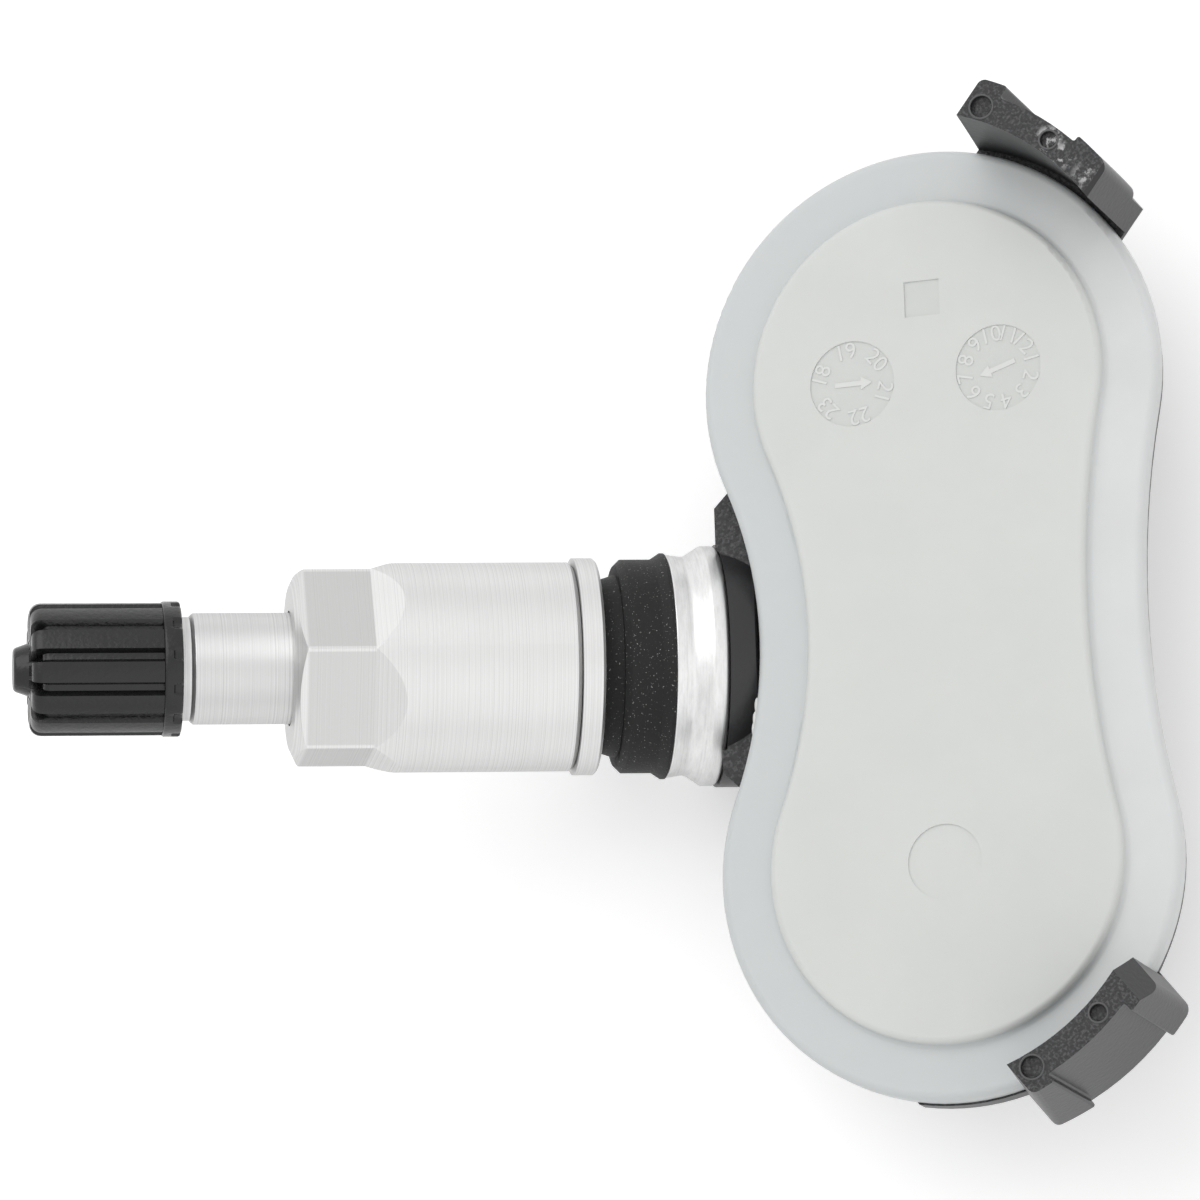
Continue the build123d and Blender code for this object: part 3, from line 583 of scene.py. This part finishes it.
stem_profile += [(RELIEF_RADIUS, relief_from), (RELIEF_RADIUS, TIP_THREAD_FROM), (tip_root, TIP_THREAD_FROM + 0.1)]
stem_profile += [(tip_root, STEM_TIP - TIP_CHAMFER), (tip_root - TIP_CHAMFER, STEM_TIP)]
stem_profile += [(CORE_BORE + TIP_CHAMFER, STEM_TIP), (CORE_BORE, STEM_TIP - TIP_CHAMFER)]
stem_profile += [(CORE_BORE, CORE_SEAT_TOP), (STEM_BORE, CORE_SEAT_TOP - 1)]
stem_shape = bmesh.new()
spin_profile(stem_shape, stem_profile, STEM_STEPS)
add_thread(stem_shape, clamp_root, CLAMP_THREAD_RADIUS, CLAMP_PITCH, FLANGE_TOP + 0.5, CLAMP_THREAD_END - 0.4)
add_thread(stem_shape, tip_root, TIP_THREAD_RADIUS, TIP_PITCH, TIP_THREAD_FROM + 0.4, STEM_TIP - 0.5)
threaded_stem = finish_turned("threaded_stem", stem_shape, stem_aluminium, "sensor", 32)
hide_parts("valve_stem")


# Rubber grommet. A moulded seal with a lip on the stem's flange and a tapered neck that centres in the wheel's
# valve hole. White dust clings to it.
DUST_WHITE = (0.55, 0.55, 0.53)
DUST_SCALE = 7000


def dusty_rubber(name, colour, shade, gloss):
    """Matte rubber with scattered white dust specks."""
    material, tree, shader = new_material(name)
    coords = object_coords(tree)
    base = blend_colours(tree, noise(tree, coords, 700, 4), colour, shade)
    dust = ramp(tree, noise(tree, coords, DUST_SCALE, 2, 0.6), 0.66, 0.74, 0, 0.7)
    tree.links.new(tint(tree, dust, base, DUST_WHITE), shader.inputs["Base Color"])
    shader.inputs["Roughness"].default_value = gloss
    shader.inputs["Specular IOR Level"].default_value = 0.3
    relief(tree, shader, noise(tree, coords, 3500, 3), 0.00003)
    return material


grommet_rubber = dusty_rubber("grommet_rubber", (0.009, 0.009, 0.009), (0.014, 0.014, 0.014), 0.62)
nodes["rim_grommet"].data.materials[0] = grommet_rubber


# Washer and sleeve nut. Both turned from aluminium bar; the nut's six flats are milled and run out in slanting
# faces. The nut's thread pulls the stem's flange and grommet against the wheel.
washer_aluminium = turned_metal("washer_aluminium", (0.74, 0.74, 0.735), (0.69, 0.69, 0.685), 0.42, 0.00015, 0.000005)
nodes["nut_washer"].data.materials[0] = washer_aluminium
nut_aluminium = turned_metal("nut_aluminium", (0.74, 0.74, 0.735), (0.69, 0.69, 0.685), 0.40, 0.00009, 0.000006)
FLATS_FROM = 0.0252
FLATS_TO = 0.0300
FLATS_WITHIN = 0.00742
FLATS_SHADE_GREY = (0.52, 0.52, 0.516)
FLATS_SHADE_SHARE = 0.7
tree = nut_aluminium.node_tree
shader = tree.nodes["Principled BSDF"]
nut_place = axes(tree, stem_coords(tree))
across = tree.nodes.new("ShaderNodeCombineXYZ")
tree.links.new(nut_place["X"], across.inputs["X"])
tree.links.new(nut_place["Y"], across.inputs["Y"])
from_axis = add_node(tree, "ShaderNodeVectorMath", operation="LENGTH")
tree.links.new(across.outputs["Vector"], from_axis.inputs[0])
# Painted shade: the six flats are painted darker than the turned body, standing in for the darker reflection they
# show.
shaded_flats = ramp(tree, from_axis.outputs["Value"], FLATS_WITHIN - 0.00005, FLATS_WITHIN, 1, 0)
shaded_flats = combine(tree, "MULTIPLY", shaded_flats, ramp(tree, nut_place["Z"], FLATS_FROM - 0.0001, FLATS_FROM, 0, 1))
shaded_flats = combine(tree, "MULTIPLY", shaded_flats, ramp(tree, nut_place["Z"], FLATS_TO - 0.0001, FLATS_TO, 1, 0))
turned_colour = shader.inputs["Base Color"].links[0].from_socket
shaded_flats_colour = tint(tree, ramp(tree, shaded_flats, 0, 1, 0, FLATS_SHADE_SHARE), turned_colour, FLATS_SHADE_GREY)
tree.links.new(shaded_flats_colour, shader.inputs["Base Color"])
nodes["stem_nut"].data.materials[0] = nut_aluminium


# Valve core. A screwed brass plug with its barrel, red sealing ring, sprung pin and rubber cup, in the stem's tip.
# The steel spring rests on the barrel's lip and carries the pin's collar; it is built here at one fixed length.
core_brass = worked_metal("core_brass", (0.68, 0.52, 0.24), (0.60, 0.46, 0.22), 0.30, 3000)
nodes["core_barrel"].data.materials[0] = core_brass
pin_brass = worked_metal("pin_brass", (0.70, 0.56, 0.28), (0.62, 0.50, 0.26), 0.26, 3600)
nodes["core_pin"].data.materials[0] = pin_brass
spring_wire = worked_metal("spring_wire", (0.56, 0.56, 0.57), (0.48, 0.48, 0.49), 0.28, 4000)
SPRING_LOW = 0.03635
SPRING_HIGH = 0.03975
SPRING_TURNS = 4.5
SPRING_RADIUS = 0.0009
WIRE_RADIUS = 0.000125
WIRE_CORNERS = 10
SPRING_STEPS = 144
spring_shape = bmesh.new()
wire_place = Matrix.Translation((SPRING_RADIUS, 0, SPRING_LOW)) @ Matrix.Rotation(math.pi / 2, 4, "X")
wire_round = bmesh.ops.create_circle(spring_shape, segments=WIRE_CORNERS, radius=WIRE_RADIUS, matrix=wire_place)
bmesh.ops.spin(
    spring_shape,
    geom=wire_round["verts"] + list(spring_shape.edges),
    cent=(0, 0, 0),
    axis=(0, 0, 1),
    dvec=(0, 0, (SPRING_HIGH - SPRING_LOW) / SPRING_STEPS),
    angle=2 * math.pi * SPRING_TURNS,
    steps=SPRING_STEPS,
)
wire_ends = [edge for edge in spring_shape.edges if len(edge.link_faces) == 1]
bmesh.ops.holes_fill(spring_shape, edges=wire_ends, sides=WIRE_CORNERS)
bmesh.ops.recalc_face_normals(spring_shape, faces=spring_shape.faces)
bmesh.ops.transform(spring_shape, matrix=stem_to_part, verts=spring_shape.verts)
shade_smooth(spring_shape)
coil_spring = new_piece("coil_spring", spring_shape, spring_wire)
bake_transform(coil_spring)
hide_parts("core_spring")
red_sealing_ring = dusty_rubber("red_sealing_ring", (0.36, 0.03, 0.02), (0.30, 0.03, 0.02), 0.5)
nodes["core_gasket"].data.materials[0] = red_sealing_ring
cup_rubber = dusty_rubber("cup_rubber", (0.03, 0.03, 0.03), (0.04, 0.04, 0.04), 0.6)
nodes["core_cup"].data.materials[0] = cup_rubber


# Valve cap. Moulded in black plastic with grip ribs, a notched collar and a small nub. It screws on the stem's valve
# thread by hand, and a rubber disc inside it seals the stem's tip.
cap_plastic = moulded_plastic("cap_plastic", (0.005, 0.005, 0.0052), (0.009, 0.009, 0.0093), 3000, 0.00003, 0.26)
cap_plastic.node_tree.nodes["Principled BSDF"].inputs["Specular IOR Level"].default_value = 0.48
CAP_BASE = 38.67
CAP_TOP = 49.43
CAP_BORE = 3.93
CAP_BORE_END = 47.86
CAP_NUB_TOP = 50.6
RIB_COUNT = 12
RIB_RADIUS = 4.75
GROOVE_RADIUS = 4.30
COLLAR_RADIUS = 4.85
COLLAR_TOP = CAP_BASE + 1.35
CROWN_FLOOR = CAP_TOP - 0.8
NUB_RADIUS = 1.9
NUB_END_RADIUS = 1.52
NUB_START = CAP_TOP + 0.1
RIB_STEPS = 20
NOTCH_RADIUS = 4.62
NOTCH_TOP = CAP_BASE + 0.6
NOTCH_SLOPE = 0.1
EDGE_ROUND = 0.2
RIB_END_ROUND = 0.8
GROOVE_END_ROUND = 0.5
NUB_ROUND = 0.35
RIB_WIDTH = 1.55
RIB_STEEPNESS = 1.8
foot_round = rounded((COLLAR_RADIUS, CAP_BASE), (CAP_BORE, CAP_BASE), (COLLAR_RADIUS, COLLAR_TOP), EDGE_ROUND)
collar_round = rounded(
    (COLLAR_RADIUS, COLLAR_TOP), (COLLAR_RADIUS, CAP_BASE), (GROOVE_RADIUS, COLLAR_TOP), EDGE_ROUND
)
rib_end = rounded((RIB_RADIUS, CAP_TOP), (RIB_RADIUS, CAP_BASE), (NUB_RADIUS, CAP_TOP), RIB_END_ROUND)
groove_end = rounded(
    (GROOVE_RADIUS, CROWN_FLOOR), (GROOVE_RADIUS, CAP_BASE), (NUB_RADIUS, CROWN_FLOOR), GROOVE_END_ROUND
)
nub_end = rounded((NUB_END_RADIUS, CAP_NUB_TOP), (NUB_RADIUS, NUB_START), (0, CAP_NUB_TOP), NUB_ROUND)
notch_round = rounded((NOTCH_RADIUS, CAP_BASE), (CAP_BORE, CAP_BASE), (NOTCH_RADIUS, COLLAR_TOP), EDGE_ROUND)
bore_line = [(CAP_BORE, CAP_BORE_END), (CAP_BORE, CAP_BASE + EDGE_ROUND), (CAP_BORE + EDGE_ROUND, CAP_BASE)]
shared_nub = [(NUB_RADIUS, NUB_START)] + nub_end
rib_line = bore_line + foot_round + [(COLLAR_RADIUS, NOTCH_TOP), (COLLAR_RADIUS, NOTCH_TOP + NOTCH_SLOPE)]
rib_line += collar_round + [(RIB_RADIUS, COLLAR_TOP)] + rib_end + [(NUB_RADIUS + 0.3, CAP_TOP)]
groove_line = bore_line + notch_round + [(NOTCH_RADIUS, NOTCH_TOP), (COLLAR_RADIUS, NOTCH_TOP + NOTCH_SLOPE)]
groove_line += collar_round + [(GROOVE_RADIUS, COLLAR_TOP)] + groove_end + [(NUB_RADIUS + 0.3, CROWN_FLOOR)]
cap_shape = bmesh.new()
rows = []
for (rib_radius, rib_along), (groove_radius, groove_along) in zip(rib_line + shared_nub, groove_line + shared_nub):
    row = bmesh.ops.create_circle(cap_shape, segments=RIB_COUNT * RIB_STEPS, radius=1)["verts"]
    for vert in row:
        angle = math.atan2(vert.co.y, vert.co.x)
        wave = RIB_WIDTH - RIB_STEEPNESS * math.cos(RIB_COUNT * angle)
        rib = max(0.0, min(1.0, wave))
        rib = rib * rib * (3 - 2 * rib)
        radius = groove_radius + (rib_radius - groove_radius) * rib
        along = groove_along + (rib_along - groove_along) * rib
        vert.co = (radius * math.cos(angle) * 0.001, radius * math.sin(angle) * 0.001, along * 0.001)
    ring = set(row)
    rows.append([edge for edge in cap_shape.edges if ring.issuperset(edge.verts)])
for lower, upper in zip(rows, rows[1:]):
    bmesh.ops.bridge_loops(cap_shape, edges=lower + upper)
bmesh.ops.holes_fill(cap_shape, edges=rows[0] + rows[-1], sides=RIB_COUNT * RIB_STEPS)
bmesh.ops.recalc_face_normals(cap_shape, faces=cap_shape.faces)
ribbed_cap = finish_turned("ribbed_cap", cap_shape, cap_plastic, "cap", 50)
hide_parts("valve_cap")
seal_rubber = dusty_rubber("seal_rubber", (0.03, 0.03, 0.03), (0.04, 0.04, 0.04), 0.7)
nodes["cap_seal"].data.materials[0] = seal_rubber


# Studio. A white floor under the housing's flat back, soft lamps overhead and a camera with a long lens that looks
# down on the lid from the foot side.
FLOOR_HALF = 3.0
FLOOR_Z = -0.0005
CAMERA_GLOW = 0.40
GLOSSY_GLOW = 0.36
floor_paper, tree, shader = new_material("floor_paper")
shader.inputs["Base Color"].default_value = (0.86, 0.86, 0.86, 1)
shader.inputs["Roughness"].default_value = 0.9
light_path = tree.nodes.new("ShaderNodeLightPath")
camera_glow = ramp(tree, light_path.outputs["Is Camera Ray"], 0, 1, 0, CAMERA_GLOW)
glossy_glow = ramp(tree, light_path.outputs["Is Glossy Ray"], 0, 1, 0, GLOSSY_GLOW)
shader.inputs["Emission Color"].default_value = (1, 1, 1, 1)
tree.links.new(combine(tree, "ADD", camera_glow, glossy_glow), shader.inputs["Emission Strength"])
floor_shape = bmesh.new()
bmesh.ops.create_grid(floor_shape, x_segments=2, y_segments=2, size=FLOOR_HALF)
floor = new_piece("floor", floor_shape, floor_paper)
floor.location = (0, 0, FLOOR_Z)

WORLD_LIGHT = 0.66
WORLD_SEEN = 1.0
world = bpy.data.worlds.new("studio")
bpy.context.scene.world = world
world.use_nodes = True
tree = world.node_tree
background = tree.nodes["Background"]
light_path = tree.nodes.new("ShaderNodeLightPath")
seen = combine(tree, "MAXIMUM", light_path.outputs["Is Camera Ray"], light_path.outputs["Is Transmission Ray"])
seen = combine(tree, "MAXIMUM", seen, light_path.outputs["Is Glossy Ray"])
background.inputs["Color"].default_value = (1, 1, 1, 1)
tree.links.new(ramp(tree, seen, 0, 1, WORLD_LIGHT, WORLD_SEEN), background.inputs["Strength"])


def soft_lamp(name, place, target, size, power):
    """A square area lamp turned towards a point."""
    lamp = bpy.data.lights.new(name, "AREA")
    lamp.shape = "SQUARE"
    lamp.size = size
    lamp.energy = power
    holder = bpy.data.objects.new(name, lamp)
    holder.location = place
    holder.rotation_euler = (Vector(target) - Vector(place)).to_track_quat("-Z", "Y").to_euler()
    bpy.context.collection.objects.link(holder)


PART_MIDDLE = (-0.01, 0, 0.01)
soft_lamp("key_lamp", place=(-0.20, 0.40, 0.75), target=PART_MIDDLE, size=0.8, power=2.5)
soft_lamp("fill_lamp", place=(0.45, -0.50, 0.40), target=PART_MIDDLE, size=1.1, power=0.9)

CAMERA_PLACE = (0.15833, -0.13306, 0.5795)
CAMERA_RIGHT = (0.9483, -0.0315, -0.3158)
CAMERA_BACK = (0.3011, -0.2250, 0.9267)
camera_data = bpy.data.cameras.new("photo_camera")
camera_data.sensor_width = 36
camera_data.lens = 255
camera_data.clip_start = 0.01
camera = bpy.data.objects.new("photo_camera", camera_data)
view_back = Vector(CAMERA_BACK).normalized()
view_up = view_back.cross(Vector(CAMERA_RIGHT)).normalized()
view_turn = Matrix((view_up.cross(view_back), view_up, view_back)).transposed().to_4x4()
camera.matrix_world = Matrix.Translation(CAMERA_PLACE) @ view_turn
bpy.context.collection.objects.link(camera)
bpy.context.scene.camera = camera
bpy.context.scene.view_settings.view_transform = "Standard"
